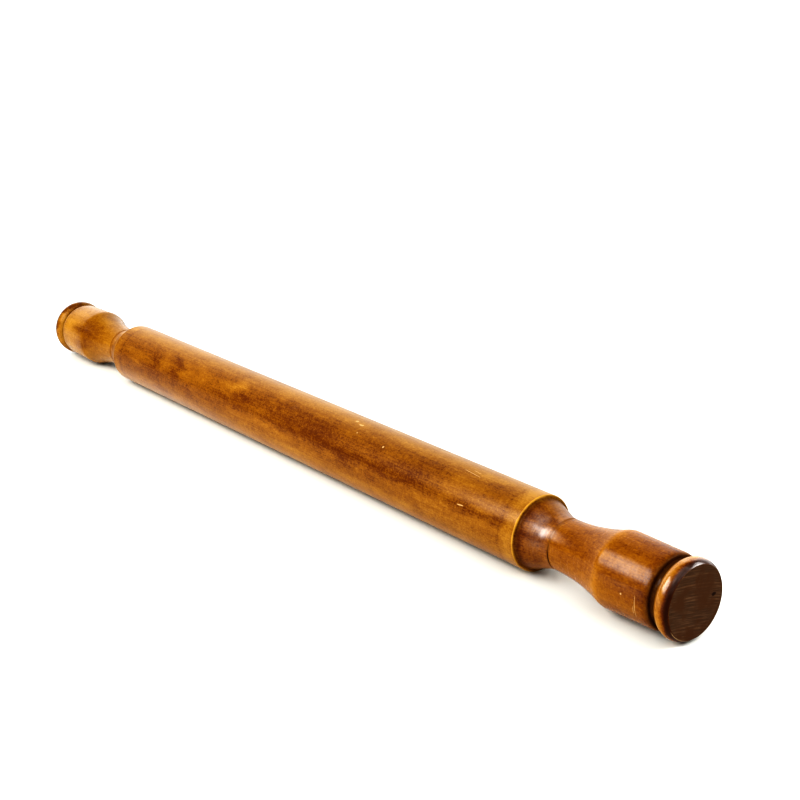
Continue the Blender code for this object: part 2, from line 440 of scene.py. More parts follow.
class TreeBuilder:
    """Adds nodes to a tree, with each input given as a value or as a socket to link."""

    def __init__(self, tree):
        self.tree = tree

    def add(self, kind, inputs=None, **values):
        """Add a node, set its own values, then fill its inputs by name or by number."""
        node = self.tree.nodes.new(kind)
        for key, value in values.items():
            setattr(node, key, value)
        for key, value in (inputs or {}).items():
            self.feed(node.inputs[key], value)
        return node

    def feed(self, socket, value):
        """Link a socket to the input, or give the input a plain value."""
        if isinstance(value, bpy.types.NodeSocket):
            self.tree.links.new(value, socket)
        else:
            socket.default_value = value

    def math(self, operation, first, second=None, third=None):
        """Return the result of a Math node."""
        terms = [term for term in (first, second, third) if term is not None]
        return self.add("ShaderNodeMath", dict(enumerate(terms)), operation=operation).outputs[0]

    def centred(self, value):
        """Return a value from 0 to 1 counted from its middle."""
        return self.math("SUBTRACT", value, 0.5)

    def hypotenuse(self, first, second):
        """Return the distance that two distances at right angles make."""
        squares = [self.math("POWER", side, 2.0) for side in (first, second)]
        return self.math("SQRT", self.math("ADD", *squares))

    def turn(self, start, end):
        """Return the angle from one direction to another, at most half a turn either way."""
        return self.math("WRAP", self.math("SUBTRACT", end, start), -math.pi, math.pi)

    def weigh(self, total, terms):
        """Add every (value, weight) term to a total."""
        for value, weight in terms:
            total = self.math("ADD", total, self.math("MULTIPLY", value, weight))
        return total

    def combine(self, x, y, z):
        """Return a vector made from three values."""
        return self.add("ShaderNodeCombineXYZ", {0: x, 1: y, 2: z}).outputs[0]

    def separate(self, vector):
        """Return the three values of a vector."""
        return self.add("ShaderNodeSeparateXYZ", {0: vector}).outputs

    def noise(self, vector, scale=1.0, detail=2.0, roughness=0.5, distortion=0.0):
        """Return smooth noise from 0 to 1 at a vector."""
        inputs = {"Vector": vector, "Scale": scale, "Detail": detail,
                  "Roughness": roughness, "Distortion": distortion}
        return self.add("ShaderNodeTexNoise", inputs).outputs[0]

    def stretch(self, vector, scales, shift=(0.0, 0.0, 0.0)):
        """Return a vector with each of its axes scaled, then shifted."""
        inputs = {0: vector, 1: scales, 2: shift}
        return self.add("ShaderNodeVectorMath", inputs, operation="MULTIPLY_ADD").outputs[0]

    def step(self, value, low, high, to_low=0.0, to_high=1.0):
        """Return a value eased from one range into another, and held outside it."""
        inputs = {"Value": value, "From Min": low, "From Max": high,
                  "To Min": to_low, "To Max": to_high}
        return self.add("ShaderNodeMapRange", inputs, interpolation_type="SMOOTHSTEP").outputs[0]

    def blend(self, factor, first, second, mode="MIX"):
        """Return a mix of two colours."""
        node = self.add("ShaderNodeMix", data_type="RGBA", blend_type=mode)
        for index, value in ((0, factor), (6, first), (7, second)):
            if isinstance(value, tuple) and len(value) == 3:
                value = (*value, 1.0)
            self.feed(node.inputs[index], value)
        return node.outputs[2]

    def ramp(self, factor, stops):
        """Return the colour of a ramp of (place, colour) stops."""
        node = self.add("ShaderNodeValToRGB", {0: factor})
        elements = node.color_ramp.elements
        while len(elements) < len(stops):
            elements.new(1.0)
        for element, (place, colour) in zip(elements, stops):
            element.position = place
            element.color = (*colour, 1.0)
        return node.outputs[0]

    def group(self, tree, inputs):
        """Add a shader group, fill its inputs and return its outputs."""
        return self.add("ShaderNodeGroup", inputs, node_tree=tree).outputs


def new_group(name, kind, inputs, outputs):
    """Make a node group with named sockets; return its builder, its inputs and its output node."""
    tree = bpy.data.node_groups.new(name, kind)
    for label, socket_type, default in inputs:
        socket = tree.interface.new_socket(label, in_out="INPUT", socket_type=socket_type)
        if default is not None:
            socket.default_value = default
    for label, socket_type in outputs:
        tree.interface.new_socket(label, in_out="OUTPUT", socket_type=socket_type)
    builder = TreeBuilder(tree)
    return builder, builder.add("NodeGroupInput").outputs, builder.add("NodeGroupOutput")


def new_shader_group(name, inputs, outputs):
    """Make a shader group with values in and out; an input that has no default is a vector."""
    kinds = {label: "NodeSocketVector" if default is None else "NodeSocketFloat"
             for label, default in inputs.items()}
    return new_group(name, "ShaderNodeTree",
                     [(label, kinds[label], default) for label, default in inputs.items()],
                     [(label, "NodeSocketFloat") for label in outputs])


def round_place_group():
    """Shader group: where a point lies along and round the pin."""
    build, given, result = new_shader_group(
        "Round place",
        {"Vector": None},
        ("Along", "Angle", "Radius"))
    x, y, z = build.separate(given["Vector"])
    build.feed(result.inputs["Along"], x)
    build.feed(result.inputs["Angle"], build.math("ARCTAN2", z, build.math("MULTIPLY", y, -1.0)))
    build.feed(result.inputs["Radius"], build.hypotenuse(y, z))
    return build.tree


def growth_rings_group():
    """Shader group: growth rings and fibres of a solid block, with the grain along X."""
    build, given, result = new_shader_group(
        "Growth rings",
        {"Vector": None, "Pith Depth": 0.12, "Ring Pitch": 0.0015, "Wander": 0.0012, "Seed": 0.0},
        ("Rings", "Fibre"))
    x, y, z = build.separate(given["Vector"])
    seeded = build.combine(build.math("ADD", x, given["Seed"]), y, z)
    sway = build.centred(build.noise(build.stretch(seeded, SWAY_CELLS), detail=3.0))
    depth = build.weigh(build.math("ADD", z, given["Pith Depth"]), ((sway, given["Wander"]),))
    count = build.math("DIVIDE", build.hypotenuse(y, depth), given["Ring Pitch"])
    late = build.math("POWER", build.math("FRACT", count), LATE_WOOD)
    ring = build.combine(build.math("FLOOR", count), given["Seed"], 0.5)
    strength = build.step(build.noise(ring, scale=0.9, detail=1.0), *RING_STRENGTH)
    build.feed(result.inputs["Rings"], build.math("MULTIPLY", late, strength))
    fibre = build.noise(build.stretch(seeded, FIBRE_CELLS), detail=3.0, roughness=0.6)
    build.feed(result.inputs["Fibre"], fibre)
    return build.tree


def turning_marks_group():
    """Shader group: fine rings that a gouge and sandpaper leave round a turned surface."""
    build, given, result = new_shader_group(
        "Turning marks",
        {"Vector": None, "Lines per Metre": 900.0, "Break-up": 230.0, "Seed": 0.0},
        ("Fine", "Broad"))
    x, y, z = build.separate(given["Vector"])
    shifted = build.math("ADD", x, given["Seed"])
    fine = build.combine(build.math("MULTIPLY", shifted, given["Lines per Metre"]),
                         build.math("MULTIPLY", y, given["Break-up"]),
                         build.math("MULTIPLY", z, given["Break-up"]))
    build.feed(result.inputs["Fine"], build.noise(fine, detail=4.0, roughness=0.65, distortion=0.4))
    broad = build.stretch(fine, BROAD_MARKS)
    build.feed(result.inputs["Broad"], build.noise(broad, detail=2.0, roughness=0.5))
    return build.tree


def blotches_group():
    """Shader group: soft clouds where the stain went in unevenly."""
    build, given, result = new_shader_group(
        "Stain blotches",
        {"Vector": None, "Size": 0.012, "Drawn Out": 2.2, "Seed": 0.0},
        ("Clouds", "Streaks"))
    x, y, z = build.separate(given["Vector"])
    rate = build.math("DIVIDE", 1.0, given["Size"])
    drawn = build.math("DIVIDE", build.math("MULTIPLY", x, rate), given["Drawn Out"])
    spot = build.combine(build.math("ADD", drawn, given["Seed"]),
                         build.math("MULTIPLY", y, rate), build.math("MULTIPLY", z, rate))
    build.feed(result.inputs["Clouds"], build.noise(spot, detail=4.0, roughness=0.55, distortion=0.6))
    streak = build.stretch(spot, STREAK_STRETCH, STREAK_SHIFT)
    build.feed(result.inputs["Streaks"], build.noise(streak, detail=4.0, roughness=0.6, distortion=0.3))
    return build.tree


def scratch_group():
    """Shader group: one pale scratch or chip at a place on the round surface."""
    build, given, result = new_shader_group(
        "Scratch",
        {"Along": 0.0, "Angle": 0.0, "Radius": 0.02, "Grit": 0.5, "At Along": 0.0,
         "At Angle": 0.0, "Length": 0.01, "Width": 0.0003, "Lean": 0.0},
        ("Mask",))
    forward = build.math("SUBTRACT", given["Along"], given["At Along"])
    around = build.math("MULTIPLY", build.turn(given["At Angle"], given["Angle"]), given["Radius"])
    cosine = build.math("COSINE", given["Lean"])
    sine = build.math("SINE", given["Lean"])
    down = build.weigh(build.math("MULTIPLY", forward, cosine), ((around, sine),))
    side = build.math("SUBTRACT", build.math("MULTIPLY", around, cosine),
                      build.math("MULTIPLY", forward, sine))
    shares = [build.math("DIVIDE", build.math("ABSOLUTE", distance), build.math("MULTIPLY", size, 0.5))
              for distance, size in ((down, given["Length"]), (side, given["Width"]))]
    reach = build.hypotenuse(build.math("POWER", shares[0], 2.0), shares[1])
    rough = build.weigh(reach, ((build.centred(given["Grit"]), SCRATCH_GRIT),))
    build.feed(result.inputs["Mask"], build.step(rough, *SCRATCH_EDGE, 1.0, 0.0))
    return build.tree


def stain_patch_group():
    """Shader group: a soft oval on the round surface where the stain is darker or lighter."""
    build, given, result = new_shader_group(
        "Stain patch",
        {"Along": 0.0, "Angle": 0.0, "At Along": 0.0, "At Angle": 0.0, "Reach": 0.01,
         "Spread": 0.2, "Amount": 0.3},
        ("Shift",))
    forward = build.math("SUBTRACT", given["Along"], given["At Along"])
    forward = build.math("DIVIDE", forward, given["Reach"])
    around = build.math("DIVIDE", build.turn(given["At Angle"], given["Angle"]), given["Spread"])
    square = build.weigh(build.math("MULTIPLY", forward, forward), ((around, around),))
    fall = build.math("EXPONENT", build.math("MULTIPLY", square, -1.0))
    build.feed(result.inputs["Shift"], build.math("MULTIPLY", fall, given["Amount"]))
    return build.tree


def worn_edge_group():
    """Shader group: an edge's wear, broken up so that it looks rubbed and not painted."""
    build, given, result = new_shader_group(
        "Worn edge",
        {"Vector": None, "Edge": 0.0, "Break-up": 0.35},
        ("Mask",))
    coarse = build.noise(given["Vector"], scale=WEAR_CELLS, detail=4.0, roughness=0.6)
    shift = build.math("MULTIPLY", build.centred(coarse), given["Break-up"])
    total = build.weigh(given["Edge"], ((shift, 2.0),))
    broken = build.step(total, *WEAR_BREAK)
    near_edge = build.step(given["Edge"], *WEAR_GATE)
    build.feed(result.inputs["Mask"], build.math("MULTIPLY", broken, near_edge))
    return build.tree


def make_groups():
    """Build every shared shader group once."""
    return {
        "place": round_place_group(),
        "rings": growth_rings_group(),
        "marks": turning_marks_group(),
        "blotches": blotches_group(),
        "scratch": scratch_group(),
        "patch": stain_patch_group(),
        "wear": worn_edge_group(),
    }


GROUPS = {}


def shared(name):
    """Return a shared shader group, built the first time that one is asked for."""
    if not GROUPS:
        GROUPS.update(make_groups())
    return GROUPS[name]


def new_material(name):
    """Make an empty node material; return it with its builder and its shader."""
    material = bpy.data.materials.new(name)
    material.use_nodes = True
    material.node_tree.nodes.clear()
    build = TreeBuilder(material.node_tree)
    shader = build.add("ShaderNodeBsdfPrincipled")
    build.add("ShaderNodeOutputMaterial", {"Surface": shader.outputs[0]})
    return material, build, shader


def object_place(build):
    """Return the point's place in the object's own coordinates."""
    return build.add("ShaderNodeTexCoord").outputs["Object"]


def attribute(build, name):
    """Return a value that the surface carries."""
    return build.add("ShaderNodeAttribute", attribute_name=name, attribute_type="GEOMETRY").outputs["Fac"]


# Marks on the wood: place along, angle above the -Y side, length, width and lean.
# Angles are in degrees, lengths in metres.
BARREL_MARKS = (
    (0.0600, 82.0, 0.0024, 0.0017, 0.0),
    (0.0662, 77.0, 0.0036, 0.0013, 4.0),
    (0.0955, 54.0, 0.0013, 0.0013, 0.0),
    (0.0698, 59.0, 0.0010, 0.0007, 0.0),
    (0.1627, 74.6, 0.0135, 0.00034, -5.0),
    (0.1640, 81.2, 0.0062, 0.00032, -6.0),
    (0.1684, 20.7, 0.0050, 0.00060, 4.0),
    (-0.0700, 205.0, 0.0090, 0.00040, 8.0),
    (0.1120, 160.0, 0.0026, 0.0012, 60.0),
    (-0.1480, 120.0, 0.0120, 0.00035, -3.0),
    (-0.1310, 262.0, 0.0016, 0.0014, 0.0),
    (0.0310, 236.0, 0.0075, 0.00040, -12.0),
)
GRIP_MARKS = (
    (0.2793, -0.7, 0.0009, 0.0009, 0.0),
    (0.2873, -12.0, 0.0120, 0.00030, 88.0),
    (0.2862, -18.0, 0.0050, 0.00028, 84.0),
    (0.3060, -62.0, 0.0200, 0.00030, 90.0),
    (0.2700, 140.0, 0.0060, 0.00040, 30.0),
    (-0.2810, 150.0, 0.0080, 0.00040, 80.0),
    (-0.2700, 200.0, 0.0014, 0.0011, 0.0),
)

# Soft patches: place along, angle above the -Y side, reach, spread and amount.
# Angles and spreads are in degrees, lengths in metres. Stains darken or lighten the wood, except rows marked
# as painted light or shade; gloss is thicker varnish, wear bares an edge further, and dirt darkens a washer,
# partly as painted shade.
BARREL_STAINS_LIGHT_AND_SHADE = (
    # Painted light: this row lightens the top of the whole barrel, where the light falls from above
    (0.0000, 96.0, 1.0000, 26.0, 0.20),
    (0.0000, 22.0, 1.0000, 30.0, -0.08),
    (0.0350, 36.0, 0.0600, 26.0, -0.34),
    (0.0950, 19.0, 0.0300, 8.0, -0.20),
    (0.1290, 34.0, 0.0180, 20.0, -0.22),
    (0.1850, 20.0, 0.0320, 9.0, -0.28),
    (0.1500, 4.0, 0.0100, 8.0, 0.12),
    (0.0600, 10.0, 0.0350, 9.0, -0.14),
    (0.1300, 18.0, 0.0220, 9.0, -0.20),
    (0.1900, 62.0, 0.0300, 15.0, -0.24),
    (0.1250, 60.0, 0.0300, 16.0, -0.22),
    (0.1260, 90.0, 0.0240, 10.0, -0.18),
    (-0.0500, 30.0, 0.0450, 26.0, -0.26),
    (-0.1550, 30.0, 0.0600, 30.0, -0.14),
    (-0.1500, -6.0, 0.0900, 24.0, -0.26),
    (-0.2060, 45.0, 0.0060, 100.0, -0.24),
    # Painted shade: these two rows darken the shoulder, where it faces away from the light
    (0.2140, -34.0, 0.0070, 30.0, -0.20),
    (0.2200, 66.0, 0.0075, 84.0, -0.34),
    (-0.0400, 38.0, 0.0060, 12.0, -0.18),
    (-0.0540, 50.0, 0.0110, 11.0, 0.30),
    (-0.1080, 28.0, 0.0120, 16.0, 0.14),
    (-0.1240, 42.0, 0.0080, 14.0, -0.26),
    (-0.1520, 35.0, 0.0080, 22.0, -0.26),
    (-0.1700, 20.0, 0.0110, 11.0, 0.24),
    (0.0900, 150.0, 0.0600, 20.0, -0.24),
    (-0.1000, 195.0, 0.0500, 24.0, -0.22),
    (0.0300, 240.0, 0.0300, 16.0, 0.22),
    (0.1600, 215.0, 0.0300, 20.0, -0.20),
)
GRIP_STAINS_AND_SHADE = (
    (0.2640, 64.0, 0.0080, 24.0, -0.12),
    (0.2820, 10.0, 0.0180, 30.0, -0.14),
    (0.2830, 92.0, 0.0100, 26.0, -0.22),
    (0.2430, 50.0, 0.0190, 60.0, -0.17),
    (0.2760, 190.0, 0.0090, 40.0, -0.20),
    (-0.2830, 30.0, 0.0150, 60.0, 0.30),
    # Painted shade: these two rows darken the left handle's cove and bead, where they face away from the
    # light
    (-0.2545, 25.0, 0.0140, 46.0, -0.48),
    (-0.3030, 40.0, 0.0036, 100.0, -0.60),
    (-0.2600, 205.0, 0.0120, 40.0, -0.18),
)
BARREL_GLOSS = (
    (0.2196, 46.0, 0.0058, 40.0, 1.15),
    (0.1960, 38.0, 0.0260, 12.0, 0.12),
    (0.2175, 165.0, 0.0060, 50.0, 0.30),
    (0.2175, 275.0, 0.0060, 30.0, 0.25),
    (-0.2175, 60.0, 0.0060, 70.0, 0.15),
    (-0.2175, 210.0, 0.0060, 50.0, 0.30),
    (-0.1500, -36.0, 0.0900, 24.0, 0.36),
    (-0.1300, 230.0, 0.0400, 20.0, 0.12),
    (0.0400, 150.0, 0.0700, 18.0, 0.11),
)
GRIP_GLOSS = (
    (0.2820, 32.0, 0.0250, 26.0, 0.25),
    (0.2280, 42.0, 0.0040, 30.0, 0.18),
    (0.3020, 38.0, 0.0060, 26.0, 0.38),
    (0.3050, 100.0, 0.0035, 40.0, 0.95),
    (0.3020, 190.0, 0.0060, 50.0, 0.30),
    (0.2800, 175.0, 0.0180, 40.0, 0.15),
    (-0.2800, 40.0, 0.0180, 50.0, 0.08),
    (-0.3020, 200.0, 0.0060, 90.0, 0.30),
)
BARREL_WEAR = (
    (0.2085, 72.0, 0.0200, 40.0, 0.34),
    (0.2085, 8.0, 0.0200, 30.0, 0.30),
    (0.2085, 190.0, 0.0200, 70.0, 0.45),
    (-0.2085, 200.0, 0.0200, 60.0, 0.45),
)
GRIP_WEAR = (
    (0.3000, -40.0, 0.0300, 60.0, 0.50),
    (0.3000, 60.0, 0.0300, 30.0, 0.50),
    (0.3000, 190.0, 0.0300, 70.0, 0.45),
    (-0.3000, 180.0, 0.0300, 70.0, 0.50),
)
WASHER_DIRT_AND_SHADE = (
    # Dirt on each joint's lower side, which is also painted shade for the gap there
    (0.2265, -18.0, 0.0300, 30.0, 1.30),
    (-0.2265, -30.0, 0.0300, 26.0, 0.40),
)
WASHER_GLOSS = (
    (0.2265, 42.0, 0.0300, 28.0, 0.45),
)

# Each handle's pattern seed, its lighter or darker stain, and its shares of the dirt and painted shade and of
# the lighter edges
HANDLE_LOOKS = (
    (11.3, 0.02, 1.0, 1.0),
    # Painted light: the left handle's stain is lighter, for the pale haze over the far end of the pin
    (17.9, 0.13, 0.18, 0.1),
)
BARREL_SEED = 3.7


def add_marks(build, place, grit, marks):
    """Return one mask that holds every mark in a list."""
    total = 0.0
    for along, angle, length, width, lean in marks:
        mask = build.group(shared("scratch"), {
            "Along": place["Along"], "Angle": place["Angle"], "Radius": place["Radius"], "Grit": grit,
            "At Along": along, "At Angle": math.radians(angle), "Length": length, "Width": width,
            "Lean": math.radians(lean)})["Mask"]
        total = build.math("MAXIMUM", total, mask)
    return total


def add_patches(build, vector, place, patches, waver=1.0):
    """Return the sum of every soft patch in a list, with edges that waver."""
    sway = build.noise(build.stretch(vector, PATCH_SWAY_CELLS), detail=3.0)
    swirl = build.noise(build.stretch(vector, PATCH_SWIRL_CELLS, PATCH_SWIRL_SHIFT), detail=3.0)
    along = build.weigh(place["Along"], ((build.centred(sway), WAVER_ALONG * waver),))
    angle = build.weigh(place["Angle"], ((build.centred(swirl), WAVER_ROUND * waver),))
    total = 0.0
    for at_along, at_angle, reach, spread, amount in patches:
        shift = build.group(shared("patch"), {
            "Along": along, "Angle": angle, "At Along": at_along, "At Angle": math.radians(at_angle),
            "Reach": reach, "Spread": math.radians(spread), "Amount": amount})["Shift"]
        total = build.math("ADD", total, shift)
    return total


def notch_mask(build, vector, grit):
    """Return the mask of the small dark pit in the end grain."""
    _, y, z = build.separate(vector)
    across = build.math("SUBTRACT", y, NOTCH_PLACE[0])
    up = build.math("MULTIPLY", build.math("SUBTRACT", z, NOTCH_PLACE[1]), NOTCH_SQUASH)
    reach = build.hypotenuse(across, up)
    ragged = build.weigh(reach, ((build.centred(grit), NOTCH_RADIUS),))
    return build.step(ragged, *(NOTCH_RADIUS * share for share in NOTCH_EDGE), 1.0, 0.0)


def add_coat(shader, roughness):
    """Lay varnish of a given roughness on a shader and take the gloss off what lies under it."""
    shader.inputs["Coat Roughness"].default_value = roughness
    shader.inputs["Coat IOR"].default_value = VARNISH_IOR
    shader.inputs["Specular IOR Level"].default_value = BARE_SPECULAR


def add_bump(build, shader, height, strength, distance):
    """Give a shader fine relief."""
    bump = build.add("ShaderNodeBump", {"Strength": strength, "Distance": distance, "Height": height})
    build.feed(shader.inputs["Normal"], bump.outputs[0])


def end_grain(build, colours, stain, rings, grained):
    """Return the end grain's colour, and how far its rings and saw lines stand out."""
    saw = build.centred(build.noise(build.stretch(grained, SAW_CELLS), detail=3.0, roughness=0.6))
    lines = build.weigh(build.math("MULTIPLY", rings["Rings"], DISC_RINGS), ((saw, DISC_SAW),))
    light = tuple(channel * SAW_LIGHT for channel in colours.end_grain)
    colour = build.blend(build.step(lines, *LINE_FADE), tuple(colours.end_grain), light)
    soaked = build.step(stain["Clouds"], *SOAKED_CLOUDS)
    return build.blend(soaked, colour, tuple(colours.soaked_grain)), lines


def stain_colour(build, colours, place, tone):
    """Return the stain's colour for a tone, redder over the near handle and its shoulder."""
    shades = (colours.stain_deep, colours.stain_dark, colours.stain_middle, colours.stain_light)
    colour = build.ramp(build.math("MULTIPLY_ADD", tone, TONE_GAIN, TONE_START),
                        [(stop, tuple(shade)) for stop, shade in zip(STAIN_STOPS, shades)])
    red = build.step(place["Along"], RED_FROM, RED_FROM + RED_EDGE)
    return build.blend(red, colour, tuple(colours.red_stain), "MULTIPLY")


def varnish_left(build, varnish, parts):
    """Thin a varnish along the fine marks, and take it off where the wood is bare or scratched, and where it
    carries dirt or painted shade.
    """
    varnish = build.math("ADD", varnish, THIN_VARNISH)
    varnish = build.math("MULTIPLY", varnish, build.step(parts["Fine"], *VARNISH_MARKS, *VARNISH_SHARES))
    dulled = build.math("MULTIPLY", parts["Dirt and shade"], DULLING_DIRT_AND_SHADE)
    bare = build.math("MAXIMUM", parts["Disc"], build.math("MAXIMUM", parts["Scratches"], dulled))
    left = build.math("MAXIMUM", build.math("SUBTRACT", varnish, bare), 0.0)
    return build.math("MINIMUM", left, 1.0)


def pair(parts, weights):
    """Pair each named part of the surface with its weight."""
    return [(parts[name], weight) for name, weight in weights.items()]


def wood_material(name, colours, tables, seed, pith_depth, tone_shift, roughness, coat_roughness):
    """Turned, stained and varnished wood, with bare dark end grain on the pin's end discs. Some of its stain
    patches, tone and grime are painted light and shade.
    """
    marks, stains_light_and_shade, gloss, worn = tables
    material, build, shader = new_material(name)
    vector = object_place(build)
    place = build.group(shared("place"), {"Vector": vector})
    grained = build.add("ShaderNodeVectorRotate", {"Vector": vector, "Angle": GRAIN_LEAN},
                        rotation_type="X_AXIS").outputs[0]
    rings = build.group(shared("rings"), {"Vector": grained, "Pith Depth": pith_depth, "Seed": seed})
    turning = build.group(shared("marks"), {"Vector": vector, "Seed": seed})
    stain = build.group(shared("blotches"), {"Vector": vector, "Seed": seed})
    parts = {
        "Clouds": stain["Clouds"],
        "Streaks": stain["Streaks"],
        "Mottle": build.noise(build.stretch(vector, MOTTLE_CELLS), detail=2.0, roughness=0.6),
        "Pores": build.noise(build.stretch(vector, PORE_CELLS), detail=3.0, roughness=0.7),
        "Fine": turning["Fine"],
        "Broad": turning["Broad"],
        "Fibre": rings["Fibre"],
    }

    # The stain patches and the carried tone include painted light and shade: the barrel's lighter top, the
    # darker shoulders, the left handle's darker cove and bead, and the beads' darker fronts; the left
    # handle's lighter stain is painted light too
    tone = build.math("ADD", 0.5 + tone_shift, add_patches(build, vector, place, stains_light_and_shade))
    tone = build.math("ADD", tone, attribute(build, TONE))
    tone = build.weigh(tone, [(build.centred(part), weight) for part, weight in pair(parts, TONE_WEIGHTS)])
    tone = build.weigh(tone, ((rings["Rings"], RING_TONE),))
    colour = stain_colour(build, colours, place, tone)

    edge = build.group(shared("wear"), {"Vector": vector, "Edge": attribute(build, WEAR)})["Mask"]
    rubbed = build.math("ADD", add_patches(build, vector, place, worn, waver=0.4), WEAR_SHARE)
    edge = build.math("MULTIPLY", edge, build.math("MINIMUM", rubbed, 1.0))
    colour = build.blend(edge, colour, tuple(colours.worn_wood))
    grit = build.noise(vector, scale=GRIT_CELLS, detail=3.0, roughness=0.7)
    scratches = add_marks(build, place, grit, marks)
    colour = build.blend(scratches, colour, tuple(colours.bare_wood))
    # Grime carried from the outline: dirt, and painted shade in the groove, at the bead's front and in the
    # shoulder's corner
    dirt_and_shade = attribute(build, GRIME_AND_SHADE)
    colour = build.blend(dirt_and_shade, colour, tuple(colours.grime_and_shade))

    half = CAD_BOX[1][0]
    disc = build.step(build.math("ABSOLUTE", place["Along"]), half - DISC_EDGE[0], half - DISC_EDGE[1])
    grain, lines = end_grain(build, colours, stain, rings, grained)
    notch = build.math("MULTIPLY", disc, notch_mask(build, vector, grit))
    colour = build.blend(disc, colour, grain)
    colour = build.blend(notch, colour, tuple(colours.grime_and_shade))
    build.feed(shader.inputs["Base Color"], colour)

    parts.update({
        "Disc": disc,
        "Disc lines": build.math("MULTIPLY", lines, disc),
        "Notch": notch,
        "Scratches": scratches,
        "Dirt and shade": dirt_and_shade,
    })
    rough = build.weigh(roughness, pair(parts, ROUGH_WEIGHTS))
    build.feed(shader.inputs["Roughness"], build.math("MINIMUM", rough, MOST_ROUGH))
    varnish = varnish_left(build, add_patches(build, vector, place, gloss, waver=0.25), parts)
    build.feed(shader.inputs["Coat Weight"], varnish)
    add_coat(shader, coat_roughness)
    height = build.weigh(0.0, pair(parts, HEIGHT_WEIGHTS))
    add_bump(build, shader, height, strength=0.18, distance=0.00006)
    return material


def fibre_material(colours):
    """Pressed fibre, hairy and soaked with the pin's stain, with old dirt and some varnish in its rim; on the
    joint's lower side the dirt is also painted shade for the gap.
    """
    material, build, shader = new_material("pressed_fibre")
    vector = object_place(build)
    place = build.group(shared("place"), {"Vector": vector})
    hairs = build.noise(vector, scale=HAIR_CELLS, detail=4.0, roughness=0.7, distortion=1.5)
    clumps = build.noise(vector, scale=CLUMP_CELLS, detail=2.0)
    mix = build.math("MULTIPLY", hairs, clumps)
    colour = build.blend(build.step(mix, 0.1, 0.5), tuple(colours.fibre), tuple(colours.stain_middle))
    # Dirt on the joint's lower side, which is also painted shade for the gap there
    dirt_and_shade = add_patches(build, vector, place, WASHER_DIRT_AND_SHADE)
    middle = sum(corner[0] for corner in WASHER_BOX) / 2
    aside = build.math("SUBTRACT", build.math("ABSOLUTE", place["Along"]), middle)
    line = build.step(build.math("ABSOLUTE", aside), WASHER_LINE / 2, WASHER_LINE, 1.0, 0.0)
    dirt_and_shade = build.math("MULTIPLY", build.math("MINIMUM", dirt_and_shade, 1.0), line)
    colour = build.blend(dirt_and_shade, colour, tuple(colours.grime_and_shade))
    build.feed(shader.inputs["Base Color"], colour)
    build.feed(shader.inputs["Roughness"], build.step(hairs, 0.2, 0.8, 0.75, 0.95))
    varnish = build.math("SUBTRACT", add_patches(build, vector, place, WASHER_GLOSS), dirt_and_shade)
    build.feed(shader.inputs["Coat Weight"], build.math("MAXIMUM", varnish, 0.0))
    add_coat(shader, HANDLE_VARNISH_ROUGHNESS)
    add_bump(build, shader, mix, strength=0.8, distance=0.0001)
    return material


def turned_metal_material(name, tint, seed):
    """Bright turned metal with fine tool rings, finger smudges and a little tarnish."""
    material, build, shader = new_material(name)
    vector = object_place(build)
    turning = build.group(shared("marks"), {
        "Vector": vector, "Lines per Metre": 5200.0, "Break-up": 60.0, "Seed": seed})
    smudge = build.noise(vector, scale=90.0, detail=4.0, roughness=0.6)
    tarnish = tuple(channel * TARNISH for channel in tint)
    colour = build.blend(build.step(smudge, 0.45, 0.75), tuple(tint), tarnish)
    build.feed(shader.inputs["Base Color"], colour)
    shader.inputs["Metallic"].default_value = 1.0
    build.feed(shader.inputs["Roughness"], build.weigh(0.08, ((turning["Fine"], 0.22), (smudge, 0.22))))
    add_bump(build, shader, turning["Fine"], strength=0.5, distance=0.00003)
    return material


def nylon_material(colours):
    """Slightly yellowed moulded nylon for the bushes."""
    material, build, shader = new_material("moulded_nylon")
    vector = object_place(build)
    age = build.noise(vector, scale=70.0, detail=3.0)
    grain = build.noise(vector, scale=3200.0, detail=2.0)
    yellowed = tuple(channel * share for channel, share in zip(colours.nylon, YELLOWED))
    build.feed(shader.inputs["Base Color"], build.blend(age, tuple(colours.nylon), yellowed))
    build.feed(shader.inputs["Roughness"], build.step(grain, 0.2, 0.8, 0.38, 0.55))
    add_bump(build, shader, grain, strength=0.3, distance=0.00004)
    return material


def floor_material(colours):
    """Pale matt floor with the faintest unevenness, darker to the eye than the light that it throws back."""
    material, build, shader = new_material("pale_floor")
    vector = object_place(build)
    soft = build.noise(vector, scale=3.0, detail=3.0)
    shade = tuple(channel * FLOOR_SHADE for channel in colours.floor)
    colour = build.blend(soft, tuple(colours.floor), shade)
    seen = build.add("ShaderNodeLightPath").outputs["Is Camera Ray"]
    colour = build.blend(seen, colour, FLOOR_SEEN, "MULTIPLY")
    build.feed(shader.inputs["Base Color"], colour)
    build.feed(shader.inputs["Roughness"], build.step(soft, 0.3, 0.7, 0.55, 0.62))
    shader.inputs["Specular IOR Level"].default_value = 0.25
    return material


def true_radius(build, given, radius, spot):
    """Return a radius less its dents and its wander, which leave the bores alone."""
    wander = build.math("MULTIPLY", build.noise(spot, scale=WANDER_CELLS, detail=1.0), given["Wander"])
    cells = build.add("ShaderNodeTexVoronoi", {"Vector": spot, "Scale": given["Dent Rate"]}, feature="F1")
    chosen = build.step(build.separate(cells.outputs["Color"])[0], *DENT_CHANCE)
    bowl = build.math("MULTIPLY", build.step(cells.outputs["Distance"], *DENT_RISE, 1.0, 0.0), chosen)
    dent = build.math("MULTIPLY", bowl, given["Dent Depth"])
    share = build.step(radius, *TRUE_RADII)
    worn = build.math("MULTIPLY", build.math("ADD", wander, dent), share)
    return build.math("MAXIMUM", build.math("SUBTRACT", radius, worn), 0.0)


